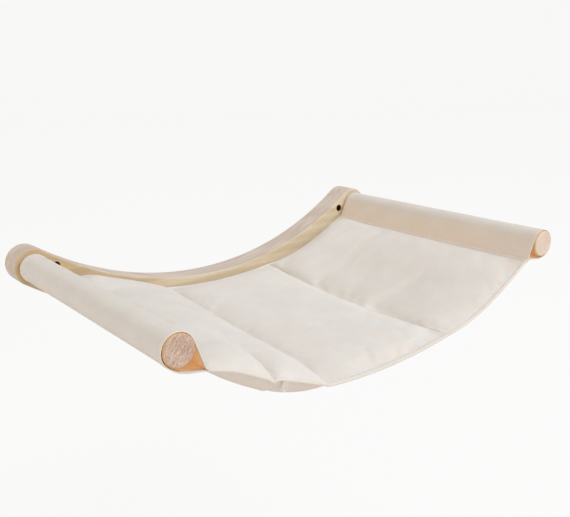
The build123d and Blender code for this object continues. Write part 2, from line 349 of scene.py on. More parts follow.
def bed_points():
    """Both faces of the bed on one grid, with their gathers, waves and creases as moves.

    The chord sags as a parabola. On both sides of it lie the turned seam's plies and the swell:
    the section's fullness times a flattened arch across it, times the front and rear rolls. The
    fold takes its share off the top, which is fuller near the rear. The left section's underside
    is fuller beside the channel. The turned seams spread inwards midway along the middle section.
    """
    section, place = bed_columns()
    across = place[:, None]
    in_left, in_middle, in_right = [(section == number)[:, None] for number in range(3)]
    edges = tuple(distance for distance, half in EDGE_ROLL)
    y = graded(FRONT_Y, REAR_Y, (*edges, *EDGE_STEPS), BED_STEP)
    x, z, normal_x, normal_z = chord_points(section, place, (y - FRONT_Y) / DEPTH)
    arch = 4 * across * (1 - across)
    sag = by_section(SECTION_SAGS, section) * arch * (1 + by_section(SAG_SKEWS, section) * (1 - 2 * across))
    x, y = np.broadcast_to(x, z.shape), np.broadcast_to(y, z.shape)
    rise = front_seam_rise(section, place, x, y) * np.minimum(1, arch * 8) - sag
    x, z = x + normal_x * rise, z + normal_z * rise

    inward = np.minimum(y - FRONT_Y, REAR_Y - y)
    stitch = edges[STITCH_COLUMN]
    behind = np.clip(inward - stitch, 0, None)
    plies = np.interp(inward, edges, [half for distance, half in EDGE_ROLL])
    spread_in = SEAM_SPREAD * in_middle * arch ** 0.6
    spread_in = spread_in * smooth(0, stitch, inward) * smooth(SPREAD_REACH, edges[-1], inward)
    seam_y = y + spread_in * np.where(y < (FRONT_Y + REAR_Y) / 2, 1, -1)

    crown = (1 - fold(x, y)) * by_section(CROWNS, section) * arch ** by_section(SHOULDERS, section)
    crown += by_section(REAR_LIFTS, section) * arch ** 0.35 * smooth(*LIFT_Y, y)
    beside_sleeve = np.where(in_left, np.exp(-(across / BULGE_SHARE) ** 2), 0)
    crown += REAR_BULGE * beside_sleeve * arch ** 0.2 * smooth(*BULGE_Y, y)
    lean = np.where(in_left, 1 + BELLY_LEAN * smooth(*LEAN_SHARES, across), 1)
    power = BELLY_POWER - np.where(in_left, POWER_FALL * smooth(*POWER_SHARES, across), 0)
    belly = by_section(BELLIES, section) * lean * arch ** power
    shorter = 1 - ROLL_CUT * (in_right * smooth(ROLL_CUT_SHARE, 0, across))

    section_chord = 0.15
    seam_gap = np.minimum(across, 1 - across) * section_chord * np.ones(x.shape)
    off_seams = smooth(0, 0.006, behind) * smooth(0, 0.006, seam_gap)
    waves = sum(height * soft_noise(x, y, *cells) for height, *cells in WAVES)
    faces, moves = [], []
    for side, swell, rolls, gathered in ((TOP, crown, TOP_ROLLS, 1), (UNDER, belly, UNDER_ROLLS, 0.4)):
        lift = side * (plies + swell * roll(behind, by_section(rolls, section) * shorter))
        faces.append(np.stack([x + normal_x * lift, seam_y, z + normal_z * lift], axis=-1))
        move = puckers(y, seam_gap, 31 + side) * off_seams + puckers(x, behind, 41 + side)
        move = move * smooth(0, 0.3, arch) * gathered
        move += (waves - crease_depth(x, y) * (side == TOP)) * off_seams
        moves.append(np.stack([normal_x * move, 0 * y, normal_z * move], axis=-1) * side)
    return section, place, faces, moves


def with_flanges(grid):
    """Adds the flat seam flanges of both long sides to one face of the bed."""
    strips = []
    for side, row in ((-1, grid[0]), (1, grid[-1])):
        x1, z1 = flange_end(side)
        shares = np.array(FLANGE_SHARES)[::-side]
        away = np.array([side * TIP_X - x1, 0, TIP_Z[side] - z1])
        strips.append(row[None] + away * shares[:, None, None])
    return np.concatenate([strips[0], grid, strips[1]])


def cloth_places(grid):
    """Place on the flat cloth of every point: length along its row from the left, and y."""
    steps = np.linalg.norm(np.diff(grid, axis=0), axis=-1)
    along = np.concatenate([np.zeros((1, grid.shape[1])), np.cumsum(steps, axis=0)])
    return np.stack([along, grid[..., 1]], axis=-1)


def inflate(piece, sewn, loose):
    """Cloth simulation: air pressure puffs the piece and its sewn points stay.

    The loose values, from 0 to 1, say where it has more spare cloth. Every movement m is cut to
    m * cap / (cap + m), so that no point goes as far as the cap.
    """
    start = settled(piece, len(piece.data.vertices))
    group = piece.vertex_groups.new(name="sewn")
    group.add(np.flatnonzero(sewn).tolist(), 1.0, "REPLACE")
    slack = piece.vertex_groups.new(name="slack")
    for share in np.unique(loose):
        slack.add(np.flatnonzero(loose == share).tolist(), float(share), "REPLACE")
    modifier = piece.modifiers.new("cloth", "CLOTH")
    for key, value in CLOTH_SETTINGS.items():
        setattr(modifier.settings, key, value)
    modifier.settings.effector_weights.gravity = 0
    modifier.point_cache.frame_start = 1
    modifier.point_cache.frame_end = SIMULATED_STEPS
    for step in range(1, SIMULATED_STEPS + 1):
        scene.frame_set(step)
    moved = settled(piece, len(start)) - start
    moved *= MOVE_CAP / (MOVE_CAP + np.linalg.norm(moved, axis=1, keepdims=True))
    piece.modifiers.remove(modifier)
    piece.vertex_groups.clear()
    scene.frame_set(1)
    piece.data.vertices.foreach_set("co", (start + moved).astype(np.float32).ravel())
    piece.data.update()


def make_bed(material):
    """Padded bed in one closed piece: two canvas faces, sewn at its edges and two channels.

    Gives the piece, its rows and columns, and the channels' rows.
    """
    section, place, faces, moves = bed_points()
    top, under = with_flanges(faces[0]), with_flanges(faces[1])
    rows, columns = top.shape[:2]
    bed = new_shell("bed", (top, under), (cloth_places(top), cloth_places(under)), material)

    y = top[0, :, 1]
    on_edge = np.minimum(y - FRONT_Y, REAR_Y - y) < EDGE_ROLL[STITCH_COLUMN][0] + 0.0001
    on_seam = np.ones(rows, bool)
    on_seam[FLANGE_ROWS + 1:-FLANGE_ROWS - 1] = False
    seam_rows = FLANGE_ROWS + np.flatnonzero((place == 0) & (section > 0))
    on_seam[seam_rows] = True
    sewn = on_seam[:, None] | on_edge[None, :]
    inward = top[..., 1] - FRONT_Y
    valley = (np.abs(fold_offset(top[..., 0], inward)) < VALLEY_HALF) & (inward < VALLEY_LENGTH)
    pinned = np.concatenate([(sewn | valley).ravel(), sewn.ravel()])
    loose = np.round(smooth(*LOOSE_X, top[..., 0]) * 4) / 4
    inflate(bed, pinned, np.tile(loose.ravel(), 2))
    puffed = settled(bed, 2 * rows * columns).reshape(2, rows, columns, 3)
    puffed[:, FLANGE_ROWS:-FLANGE_ROWS] += np.stack(moves)
    bed.data.vertices.foreach_set("co", puffed.astype(np.float32).ravel())
    subdivide(bed)
    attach(bed, "sling")
    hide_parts("bed_top_panel", "bed_bottom_panel", "left_filling", "middle_filling",
                "right_filling")
    return bed, (rows, columns), seam_rows


# Sleeves

def sleeve_lines(side, hug, lay):
    """Middle line of a sleeve's strip at every place along the dowel, beside the dowel's axis.

    From the flap on the bed: straight up to the dowel, round it on a circle, off it at the hug
    angle, and back to the lower flap on a cubic curve that hangs below the straight line by lay.
    The circle is a little loose, and rests on the dowel at its upper inner side.
    """
    tip = np.array([AXIS_X - TIP_X, TIP_Z[side] - AXIS_Z])
    end = np.array([AXIS_X - abs(flange_end(side)[0]), flange_end(side)[1] - AXIS_Z])
    along = unit(end - tip)
    up = np.array([-along[1], along[0]])
    centre = np.array(SLEEVE_CENTRE)
    radius = DOWEL_RADIUS + SLEEVE_EASE + CANVAS / 2
    off_bed = up * (CANVAS / 2 + FLAP_GAP)
    top_tip, low_tip = tip + off_bed, tip - off_bed
    to_top, to_low = top_tip - centre, low_tip - centre
    upper = math.atan2(to_top[1], to_top[0]) + math.acos(radius / np.hypot(*to_top))
    taut = 2 * math.pi + math.atan2(to_low[1], to_low[0]) - math.acos(radius / np.hypot(*to_low))
    leave = math.pi + (taut - math.pi) * hug[None, :]
    flap_end = SEAM_FLANGE + FLAP_OVERLAP
    runs = np.linspace(0, flap_end, 9)[1:, None]
    lifts = FLAP_LIFT * smooth(0, FLAP_BEND, runs)
    lifts = lifts - FLAP_DIP * smooth(SEAM_FLANGE - FLAP_BEND, flap_end, runs)
    flap = (top_tip + along * runs + up * lifts)[::-1]
    touch = centre + radius * np.array([math.cos(upper), math.sin(upper)])
    straight = top_tip + (touch - top_tip) * np.linspace(0, 1, 14)[:, None]
    angle = upper + (leave - upper) * np.linspace(0, 1, 42)[1:, None]
    hugging = centre + radius * np.stack([np.cos(angle), np.sin(angle)], axis=-1)
    start = hugging[-1]
    way = np.stack([-np.sin(leave[0]), np.cos(leave[0])], axis=-1)
    reach = np.linalg.norm(low_tip - start, axis=-1, keepdims=True)
    first = start + way * reach * 0.45
    second = low_tip - along * reach * 0.3 - up * lay[:, None]
    s = np.linspace(0, 1, 18)[1:, None, None]
    slack = ((1 - s) ** 3 * start + 3 * (1 - s) ** 2 * s * first + 3 * (1 - s) * s ** 2 * second
             + s ** 3 * low_tip)
    low_flap = low_tip + along * runs - up * lifts
    plain = [np.repeat(part[:, None, :], len(hug), axis=1) for part in (flap, straight, low_flap)]
    return np.concatenate([plain[0], plain[1], hugging, slack, plain[2]])


def make_sleeve(side, material, hugs, lays, tint, lip):
    """Canvas sleeve: the strip's middle line swept along the dowel, thickened along its normals.

    Hug and lay run from their front to their rear values. Soft noise lifts the free cloth, and
    both ends have a hem of three plies. The painted light value is full deep inside the open
    corner, as painted bounce and glow, from the lip on in the lower cloth, and faint where the
    cloth hugs the dowel; on the outside, where the upper cloth hangs free, it reaches the tint
    as painted shade. Gives the outer face and its normals.
    """
    word, seed = ("left", 11) if side < 0 else ("right", 23)
    y = graded(FRONT_Y, REAR_Y, SLEEVE_STEPS, SLEEVE_STEP)
    behind = smooth(0, SETTLED_DEPTH, y - FRONT_Y)
    hug, lay = [front + (rear - front) * behind for front, rear in (hugs, lays)]
    line = sleeve_lines(side, hug, lay)
    along_dowel = np.broadcast_to(y, line.shape[:2])
    places = cloth_places(np.stack([line[..., 0], along_dowel, line[..., 1]], axis=-1))
    s, t = places[..., 0], places[..., 1]
    length = float(s[-1].mean())
    tangent = unit(np.gradient(line, axis=0))
    outward = np.stack([tangent[..., 1], -tangent[..., 0]], axis=-1)
    inward = np.minimum(t - FRONT_Y, REAR_Y - t)

    off_flaps = smooth(0.006, 0.02, s) * smooth(0.006, 0.02, length - s)
    upper_span = smooth(0.005, 0.016, s) * smooth(0.034, 0.024, s)
    span = upper_span + smooth(length - 0.05, length - 0.03, s)
    wave = sum(share * soft_noise(s, t, cell_s, cell_t, seed + step)
               for share, cell_s, cell_t, step in SLEEVE_WAVES)
    height = WAVE_HEIGHT + SPAN_HEIGHT * span * smooth(0, 0.03, inward)
    wave = np.clip(wave + 0.35, 0, None) * height * off_flaps
    hem = smooth(*HEM_ENDS, inward)
    half_thick = (CANVAS * (1 + HEM_PLIES * hem) / 2)[..., None]
    middle = line + outward * (wave + CANVAS * HEM_SHIFT * hem)[..., None]
    outer, inner = [np.stack([side * (AXIS_X - flat[..., 0]), t, AXIS_Z + flat[..., 1]], axis=-1)
                    for flat in (middle + outward * half_thick, middle - outward * half_thick)]
    sleeve = new_shell(f"{word}_sleeve_cloth", (outer, inner), (places, places), material, side < 0)

    # Painted light deep in the cavity: full past the lip in the lower cloth, faint where the cloth hugs the
    # dowel.
    deep = np.where(s < UPPER_END, smooth(-0.0002, 0.003, inward), smooth(lip / 4, lip, inward))
    deep = deep * (1 - 0.8 * smooth(0.034, 0.044, s) * smooth(0.088, 0.074, s))
    # Painted shade on the outer upper cloth where it hangs free, turned away from the key lamp.
    painted_band_shade = tint * smooth(0.0005, 0.005, s) * smooth(0.038, 0.026, s) * (0.2 + 0.8 * behind)
    painted_cavity_light = sleeve.data.attributes.new("painted_cavity_light", "FLOAT", "POINT")
    painted_cavity_light.data.foreach_set("value", np.stack([painted_band_shade, deep]).astype(np.float32).ravel())
    subdivide(sleeve)
    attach(sleeve, "sling")
    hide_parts(f"{word}_sleeve")
    return outer, outward


# Stitching

def on_line(at, along, values):
    """Values at some lengths along a line, from those at its points."""
    return np.stack([np.interp(at, along, values[:, k]) for k in range(3)], axis=1)


def stitch_row(line, outward, pitch=0.0034, length=0.0026, thickness=0.0005, sink=0.00012):
    """Capsule for every stitch along a line, a little sunk into the cloth.

    Six rings of six points round the stitch's own axis, smaller at both its ends.
    """
    steps = np.linalg.norm(np.diff(line, axis=0), axis=1)
    along = np.concatenate([[0], np.cumsum(steps)])
    count = int(along[-1] // pitch)
    centres = (np.arange(count) + 0.5) * along[-1] / count
    way = unit(on_line(centres + 0.001, along, line) - on_line(centres - 0.001, along, line))
    normal = on_line(centres, along, outward)
    normal = unit(normal - way * np.sum(normal * way, axis=1, keepdims=True))
    place, way, normal, cross = [part[:, None, None] for part in (
        on_line(centres, along, line), way, normal, np.cross(way, normal))]
    runs = np.array([-0.5, -0.44, -0.25, 0.25, 0.44, 0.5])[:, None, None] * length
    radii = np.array([0.15, 0.68, 1, 1, 0.68, 0.15])[:, None, None] * thickness / 2
    dips = np.array([0.8, 0.45, 0, 0, 0.45, 0.8])[:, None, None] * thickness / 2
    turn = (np.arange(6) * math.pi / 3)[:, None]
    ring = (np.cos(turn) * normal + np.sin(turn) * cross) * radii
    return place + way * runs + ring - normal * (sink + dips)


def sleeve_rows(side, outer, outward):
    """Stitch rows of a sleeve: along both its flaps and round the hems at both its ends."""
    normals = np.stack([-side * outward[..., 0], np.zeros(outward.shape[:2]), outward[..., 1]], axis=-1)
    flaps = [(outer[flap, 1:-1], normals[flap, 1:-1]) for flap in (4, -5)]
    hems = [((outer[3:-3, hem] + outer[3:-3, hem + 1]) / 2, normals[3:-3, hem]) for hem in (2, -4)]
    return flaps + hems


def bed_rows(bed, rows, columns, channels):
    """Stitch rows on both faces of the bed: along its channels, and along its two edges."""
    surface = settled(bed, 2 * rows * columns).reshape(2, rows, columns, 3)
    channel_lines, edge_lines = [], []
    for side, grid in zip((TOP, UNDER), surface):
        upright = np.full(grid.shape, (0.0, 0.0, side))
        channel_lines += [(grid[row, 1:-1], upright[row, 1:-1]) for row in channels]
        between = slice(FLANGE_ROWS, -FLANGE_ROWS)
        edge_lines += [(grid[between, column], upright[between, column])
                       for column in (STITCH_COLUMN, -1 - STITCH_COLUMN)]
    return channel_lines, edge_lines


def sew(name, rows, material):
    """One piece of thread from several rows of stitches."""
    points = np.concatenate([stitch_row(*row) for row in rows])
    index = np.arange(36).reshape(6, 6)
    after = np.roll(index, -1, axis=1)
    quads = np.stack([index[:-1], index[1:], after[1:], after[:-1]], axis=-1).reshape(-1, 4)
    ends = [[0, 1, 2, 3], [0, 3, 4, 5], [33, 32, 31, 30], [35, 34, 33, 30]]
    first = np.arange(len(points))[:, None, None] * index.size
    faces = (np.concatenate([quads, ends]) + first).reshape(-1, 4)
    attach(new_piece(name, points, faces, material), "sling")


def make_tab(material):
    """Bare tape loop sewn in the front seam: a strip that runs down, turns round and runs up."""
    height, half_gap, width, thick, slant = 0.0088, 0.0011, 0.005, 0.001, 0.28
    turn = np.linspace(0, math.pi, 9)
    u = np.concatenate([[-half_gap] * 5, -half_gap * np.cos(turn), [half_gap] * 5])
    v = np.concatenate([np.linspace(0, -height, 6)[:-1], -height - half_gap * np.sin(turn),
                        np.linspace(-height, 0, 6)[1:]])
    middle = np.stack([u, v], axis=-1)
    way = unit(np.gradient(middle, axis=0))
    normal = np.stack([way[:, 1], -way[:, 0]], axis=-1)
    y = np.linspace(TAB_PLACE[1], TAB_PLACE[1] + width, 5)
    faces = []
    for half in (thick / 2, -thick / 2):
        line = middle + normal * half
        x = TAB_PLACE[0] + line[:, :1] + slant * line[:, 1:]
        z = TAB_PLACE[2] + line[:, 1:]
        faces.append(np.stack(np.broadcast_arrays(x, y, z), axis=-1))
    places = cloth_places(faces[0])
    tab = new_shell("seam_tab", faces, (places, places), material)
    subdivide(tab)
    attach(tab, "sling")


# Materials

def colour(*values):
    """Linear colour from the 0 to 255 values of a screen colour."""
    shares = [value / 255 for value in values]
    return (*[share / 12.92 if share <= 0.04045 else ((share + 0.055) / 1.055) ** 2.4
              for share in shares], 1.0)


def add(tree, kind, label="", **values):
    """Shader node of a kind, with its label, if any, and its settings."""
    node = tree.nodes.new("ShaderNode" + kind)
    if label:
        node.label = node.name = label
    for key, value in values.items():
        setattr(node, key, value)
    return node


def put(tree, socket, value):
    """Sets a number or colour on a socket, or links another socket to it."""
    if isinstance(value, (int, float, tuple)):
        socket.default_value = value
    else:
        tree.links.new(value, socket)


def feed(tree, node, **values):
    """Feeds a node's inputs by name."""
    for key, value in values.items():
        put(tree, node.inputs[key.replace("_", " ")], value)
    return node


def maths(tree, operation, *values):
    """Math node on sockets or numbers, giving its output socket."""
    node = add(tree, "Math", operation=operation)
    for socket, value in zip(node.inputs, values):
        put(tree, socket, value)
    return node.outputs[0]


def times(tree, a, b):
    """Product of two values."""
    return maths(tree, "MULTIPLY", a, b)


def blend_colours(tree, share, a, b, way="MIX"):
    """Mix of two colours, giving its output socket."""
    node = add(tree, "Mix", data_type="RGBA", blend_type=way)
    for key, value in ((0, share), (6, a), (7, b)):
        put(tree, node.inputs[key], value)
    return node.outputs[2]


def noise(tree, vector, scale, detail, stretch=(1, 1, 1), rough=0.5):
    """Noise texture on a stretched vector, giving its value from 0 to 1."""
    mapping = feed(tree, add(tree, "Mapping"), Vector=vector, Scale=stretch)
    return feed(tree, add(tree, "TexNoise"), Vector=mapping.outputs[0], Scale=scale, Detail=detail,
                Roughness=rough).outputs["Fac"]


def spread(tree, value, low, high, to_low=0.0, to_high=1.0):
    """Map Range with a smooth step, giving its output socket."""
    node = add(tree, "MapRange", interpolation_type="SMOOTHSTEP")
    return feed(tree, node, Value=value, From_Min=low, From_Max=high, To_Min=to_low,
                To_Max=to_high).outputs["Result"]


def turned_place(tree, place, label, x=0, y=0, z=0):
    """Place turned by angles in degrees."""
    mapping = add(tree, "Mapping", label)
    angles = tuple(math.radians(angle) for angle in (x, y, z))
    return feed(tree, mapping, Vector=place, Rotation=angles).outputs[0]


def object_place(tree, label):
    """Place on the object, and its parts in x, y and z."""
    place = add(tree, "TexCoord", label).outputs["Object"]
    return place, feed(tree, add(tree, "SeparateXYZ", "place_parts"), Vector=place).outputs


def new_group(name, outputs, **inputs):
    """Node group with its sockets by name: inputs are given by kind, or a number by its value."""
    group = bpy.data.node_groups.new(name, "ShaderNodeTree")
    kinds = {label.replace("_", " "): value for label, value in inputs.items()}
    for way, sockets in (("INPUT", kinds), ("OUTPUT", outputs)):
        for label, value in sockets.items():
            kind = value if isinstance(value, str) else "Float"
            socket = group.interface.new_socket(label, in_out=way, socket_type="NodeSocket" + kind)
            if kind != value:
                socket.default_value = value
    return group, group.nodes.new("NodeGroupInput").outputs, group.nodes.new("NodeGroupOutput")


def canvas_weave_group():
    """Plain weave: crossed sine threads, thick-and-thin yarns, cotton flecks and soft mottling."""
    group, given, out = new_group("canvas_weave", SURFACE, Place="Vector", Thread_Pitch=THREAD_PITCH,
                                  Cloth="Color", Shade="Color", Fleck_Amount=0.15)
    place = given["Place"]
    wander = noise(group, place, 90, 1)
    parts = feed(group, add(group, "SeparateXYZ", "thread_places"), Vector=place).outputs
    turns = maths(group, "DIVIDE", math.pi, given["Thread Pitch"])
    warp, weft = [maths(group, "SINE", maths(group, "MULTIPLY_ADD", along, turns,
                                             times(group, wander, bend)))
                  for along, bend in ((parts[0], 3.0), (parts[1], 2.4))]
    weave = times(group, warp, weft)
    yarns = maths(group, "ADD", noise(group, place, 1.0, 2, (900, 55, 1)),
                  noise(group, place, 1.0, 2, (55, 900, 1)))
    mottle = noise(group, place, 26, 3)
    flecks = times(group, spread(group, noise(group, place, 420, 0), 0.76, 0.84), given["Fleck Amount"])
    height = maths(group, "MULTIPLY_ADD", weave, 0.35, times(group, yarns, 0.9))
    shade = maths(group, "MULTIPLY_ADD", spread(group, yarns, 0.7, 1.35), 0.5,
                  times(group, spread(group, mottle, 0.3, 0.75), 0.5))
    plain = blend_colours(group, shade, given["Shade"], given["Cloth"])
    feed(group, out, Color=blend_colours(group, flecks, plain, colour(168, 138, 100)), Height=height,
         Roughness=spread(group, yarns, 0.6, 1.4, 0.93, 0.82))
    return group


def wood_grain_group():
    """Straight-grained pale wood: long fibres, faint growth bands, short pores and soft patches."""
    group, given, out = new_group("wood_grain", SURFACE, Place="Vector", Light_Wood="Color",
                                  Dark_Wood="Color", Pore_Amount=0.4)
    place = given["Place"]
    fibres = noise(group, place, 1.0, 3, (14, 620, 620), 0.6)
    bands = noise(group, place, 1.0, 2, (2.4, 92, 92))
    patches = noise(group, place, 1.0, 2, (7, 20, 20))
    pores = spread(group, noise(group, place, 1.0, 1, (130, 1500, 1500)), 0.66, 0.78)
    pores = times(group, pores, given["Pore Amount"])
    tone = maths(group, "MULTIPLY_ADD", spread(group, bands, 0.3, 0.72), 0.5,
                 maths(group, "MULTIPLY_ADD", fibres, 0.35, times(group, patches, 0.35)))
    wood = blend_colours(group, spread(group, tone, 0.25, 0.95), given["Dark Wood"],
                         given["Light Wood"])
    feed(group, out, Color=blend_colours(group, pores, wood, colour(150, 116, 84), "MULTIPLY"),
         Height=maths(group, "SUBTRACT", times(group, fibres, 0.6), pores),
         Roughness=spread(group, tone, 0.2, 1.0, 0.68, 0.52))
    return group


def end_grain_group():
    """Sawn end of a rod: near-straight growth rings, crossed by short speckles."""
    group, given, out = new_group("end_grain", {"Color": "Color", "Height": "Float"}, Place="Vector",
                                  Light_Wood="Color", Dark_Wood="Color", Speckle="Color")
    place = given["Place"]
    turned = turned_place(group, place, "ring_slant", y=52)
    rings = noise(group, turned, 1.0, 2, (70, 10, 420))
    speckles = noise(group, turned, 1.0, 1, (560, 200, 1250))
    spots = noise(group, place, 700, 2)
    base = blend_colours(group, spread(group, rings, 0.36, 0.64), given["Dark Wood"],
                         given["Light Wood"])
    marks = times(group, spread(group, speckles, 0.46, 0.66), spread(group, spots, 0.3, 0.6, 0.35, 1))
    feed(group, out, Color=blend_colours(group, marks, base, given["Speckle"]),
         Height=maths(group, "SUBTRACT", spots, marks))
    return group


def new_material(name):
    """Material with its node tree and its shader."""
    material = bpy.data.materials.new(name)
    material.use_nodes = True
    tree = material.node_tree
    return material, tree, tree.nodes["Principled BSDF"]


def use_group(tree, group, **values):
    """Adds a group to a material and feeds its inputs, giving its outputs."""
    return feed(tree, add(tree, "Group", group.name, node_tree=group), **values).outputs


def bump(tree, shader, height, distance, strength):
    """Bump of a height field into the shader's normal."""
    node = add(tree, "Bump", "surface_relief")
    feed(tree, node, Strength=strength, Distance=distance, Height=height)
    feed(tree, shader, Normal=node.outputs[0])


def canvas_material(name, group, cloth, shade, pitch=THREAD_PITCH, painted_cavity_colour=None, painted_glow=0.0):
    """Unbleached cotton canvas on the piece's own cloth map.

    Deep in a sleeve it carries painted light: a warmer colour for light bouncing in the cavity, and a faint
    emitted glow for light through the cloth.
    """
    material, tree, shader = new_material(name)
    place = add(tree, "UVMap", "cloth_place", uv_map="cloth").outputs[0]
    weave = use_group(tree, group, Place=place, Thread_Pitch=pitch, Cloth=colour(*cloth),
                      Shade=colour(*shade))
    colours = weave["Color"]
    # Painted light: the warm colour and the emitted glow stand in for light bouncing in a sleeve's cavity
    # and shining through its cloth.
    if painted_cavity_colour:
        painted_cavity_light = add(tree, "Attribute", "painted_cavity_light", attribute_name="painted_cavity_light").outputs["Fac"]
        colours = blend_colours(tree, painted_cavity_light, colours, colour(*painted_cavity_colour))
        light = blend_colours(tree, spread(tree, painted_cavity_light, 0.4, 1.0), (0.0, 0.0, 0.0, 1.0),
                              (1.0, 0.72, 0.42, 1.0))
        feed(tree, shader, Emission_Color=light, Emission_Strength=painted_glow)
    feed(tree, shader, Base_Color=colours, Roughness=weave["Roughness"],
         Specular_IOR_Level=0.25, Sheen_Weight=0.12, Sheen_Roughness=0.6, Subsurface_Weight=0.35,
         Subsurface_Radius=(1.0, 0.6, 0.34), Subsurface_Scale=0.0022)
    bump(tree, shader, weave["Height"], 0.00016, 0.7)
    return material


def rail_material(grain):
    """Pale sawn rail: yellowish planed face and front edge, pinkish speckled outer edges.

    The face carries painted shade that makes it warmer and darker towards its left end, and the walls of
    the screw bores carry painted dark shade.
    """
    material, tree, shader = new_material("rail_wood")
    place, (x, y, z) = object_place(tree, "rail_place")
    face = use_group(tree, grain, Place=place, Light_Wood=colour(230, 216, 190),
                     Dark_Wood=colour(214, 194, 162), Pore_Amount=0.2)
    edge = use_group(tree, grain, Place=place, Light_Wood=colour(228, 214, 200),
                     Dark_Wood=colour(212, 195, 180), Pore_Amount=0.5)
    on_face = spread(tree, y, RAIL_FRONT_Y + 0.0016, RAIL_FRONT_Y + 0.0004)
    planed = blend_colours(tree, on_face, edge["Color"], face["Color"])
    # Painted shade: the planed face turns darker and warmer towards its left end.
    painted_shade_to_left = times(tree, spread(tree, x, -0.02, -0.15), on_face)
    planed = blend_colours(tree, painted_shade_to_left, planed, (0.92, 0.83, 0.71, 1.0), "MULTIPLY")
    # Painted shade: the screw bores' walls are coloured dark brown.
    off_screw = maths(tree, "SUBTRACT", maths(tree, "ABSOLUTE", x), SCREW_X)
    from_screw = maths(tree, "SQRT", maths(tree, "MULTIPLY_ADD", off_screw, off_screw, times(tree, z, z)))
    painted_bore_shade = times(tree, spread(tree, from_screw, SCREW_BORE + 0.0004, SCREW_BORE + 0.0001),
                    spread(tree, y, RAIL_FRONT_Y + 0.0003, RAIL_FRONT_Y + 0.0011))
    feed(tree, shader, Base_Color=blend_colours(tree, painted_bore_shade, planed, colour(80, 56, 20)),
         Roughness=face["Roughness"], Specular_IOR_Level=0.35)
    bump(tree, shader, face["Height"], 0.00012, 0.5)
    return material


def dowel_material(name, grain, ends, light_end, dark_end, speckle):
    """Round rod: long grain on its side and chamfer, speckled sawn grain on its front end."""
    material, tree, shader = new_material(name)
    place, parts = object_place(tree, "rod_place")
    side = use_group(tree, grain, Place=turned_place(tree, place, "along_rod", z=90),
                     Light_Wood=colour(232, 196, 150), Dark_Wood=colour(216, 168, 118), Pore_Amount=0.3)
    end = use_group(tree, ends, Place=place, Light_Wood=colour(*light_end), Dark_Wood=colour(*dark_end),
                    Speckle=colour(*speckle))
    on_end = spread(tree, parts[1], DOWEL_FRONT_Y + 0.0008, DOWEL_FRONT_Y + 0.0003)
    height = maths(tree, "MULTIPLY_ADD", end["Height"], on_end,
                   times(tree, side["Height"], maths(tree, "SUBTRACT", 1.0, on_end)))
    feed(tree, shader, Roughness=0.62, Specular_IOR_Level=0.35,
         Base_Color=blend_colours(tree, on_end, side["Color"], end["Color"]))
    bump(tree, shader, height, 0.0002, 0.6)
    return material


def metal_material(name, base, roughness):
    """Turned or plated metal: fine tool lines in its roughness and relief, and cloudy plating."""
    material, tree, shader = new_material(name)
    place = add(tree, "TexCoord", "metal_place").outputs["Object"]
    lines = noise(tree, place, 1.0, 2, (500, 40, 500))
    clouds = noise(tree, place, 160, 2)
    darker = tuple(value * 0.8 for value in base[:3]) + (1.0,)
    feed(tree, shader, Base_Color=blend_colours(tree, clouds, darker, base), Metallic=1.0,
         Roughness=spread(tree, lines, 0.2, 0.8, roughness - 0.08, roughness + 0.12))
    bump(tree, shader, lines, 0.00005, 0.4)
    return material


def thread_material():
    """Cotton thread: fine uneven plies in cream."""
    material, tree, shader = new_material("cotton_thread")
    place = add(tree, "TexCoord", "thread_place").outputs["Object"]
    plies = noise(tree, place, 2600, 1)
    feed(tree, shader, Roughness=0.75,
         Base_Color=blend_colours(tree, plies, colour(220, 210, 196), colour(237, 229, 218)))
    bump(tree, shader, plies, 0.0001, 0.5)
    return material


def make_materials():
    """Finishes of the bed, both sleeves, the tape and the thread. The CAD nodes get theirs here."""
    weave = canvas_weave_group()
    grain = wood_grain_group()
    ends = end_grain_group()
    zinc = metal_material("zinc_plate", (0.62, 0.63, 0.65, 1.0), 0.34)
    on_nodes = {
        "wall_rail": rail_material(grain),
        # Both dowel ends are one wood: the left end's colours are darker as painted shade, the right end's
        # lighter as painted light.
        "left_dowel": dowel_material("left_dowel_wood", grain, ends, (227, 206, 190), (205, 179, 161),
                                     (179, 141, 122)),
        "right_dowel": dowel_material("right_dowel_wood", grain, ends, (240, 224, 208), (232, 212, 194),
                                      (222, 196, 176)),
        "dowel_bolts": zinc,
        "dowel_washers": zinc,
        "dowel_inserts": metal_material("insert_brass", (0.72, 0.53, 0.26, 1.0), 0.36),
    }
    for node, material in on_nodes.items():
        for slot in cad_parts[node].material_slots:
            slot.material = material
    return (canvas_material("bed_canvas", weave, (237, 232, 225), (230, 223, 214)),
            # Two copies of one canvas: both carry painted cavity light, stronger in the right one; the
            # right one's cloth colours are darker as painted shade.
            canvas_material("left_sleeve_canvas", weave, (237, 229, 220), (229, 220, 210),
                            painted_cavity_colour=(255, 220, 170), painted_glow=0.135),
            canvas_material("right_sleeve_canvas", weave, (232, 223, 213), (224, 214, 202),
                            painted_cavity_colour=(255, 224, 182), painted_glow=0.21),
            canvas_material("tape_canvas", weave, (250, 247, 242), (242, 237, 228), TAPE_PITCH),
            thread_material())


# Camera, floor and lights

def stand(name, data, place, axes):
    """Puts a camera or lamp in the scene at a place, turned to its right, up and backward axes."""
    item = bpy.data.objects.new(name, data)
    scene.collection.objects.link(item)
    matrix = np.eye(4)
    matrix[:3] = np.stack([*axes, place], axis=-1)
    item.matrix_world = Matrix(matrix.tolist())
    return item


def level_axes():
    """Unit vectors level ahead of the camera, level to its right, and up."""
    sine, cosine = math.sin(CAMERA_YAW), math.cos(CAMERA_YAW)
    return np.array([[sine, cosine, 0], [cosine, -sine, 0], [0, 0, 1]])


